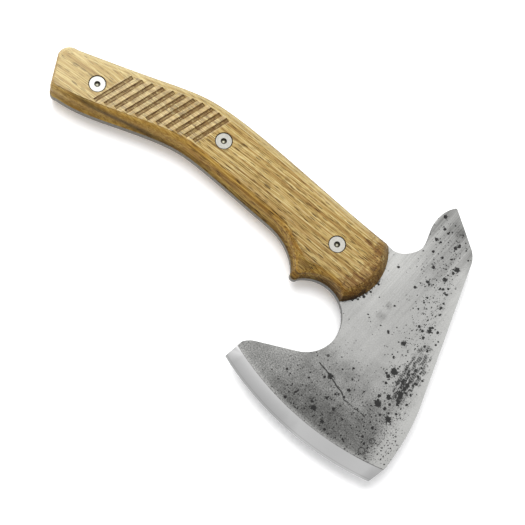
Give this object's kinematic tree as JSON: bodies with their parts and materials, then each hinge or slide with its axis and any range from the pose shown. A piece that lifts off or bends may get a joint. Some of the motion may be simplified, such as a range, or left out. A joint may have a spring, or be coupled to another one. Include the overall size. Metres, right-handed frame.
{
  "type": "carving hatchet",
  "caption": "Full-tang carving hatchet with a bearded flat steel head, a short horn, a finger guard and grooved wooden scales held by flush socket bolts.",
  "frame": {"origin": "bottom centre of the whole hatchet's box, as it lies on its side", "axes": "+X along the handle from the butt to the head, +Y towards the spine and the horn, +Z out of the front scale, square to the steel"},
  "size_m": [0.3015, 0.167, 0.023],
  "materials": {
    "steel": "satin with dark forge pits, ground bright at the bevel",
    "wood": "oiled, straight grain along the handle",
    "bolt": "satin turned steel"
  },
  "bodies": {
    "root": {"blade": "steel", "front_scale": "wood", "back_scale": "wood", "screw_1": "bolt", "barrel_nut_1": "bolt", "screw_2": "bolt", "barrel_nut_2": "bolt", "screw_3": "bolt", "barrel_nut_3": "bolt"}
  },
  "joints": []
}
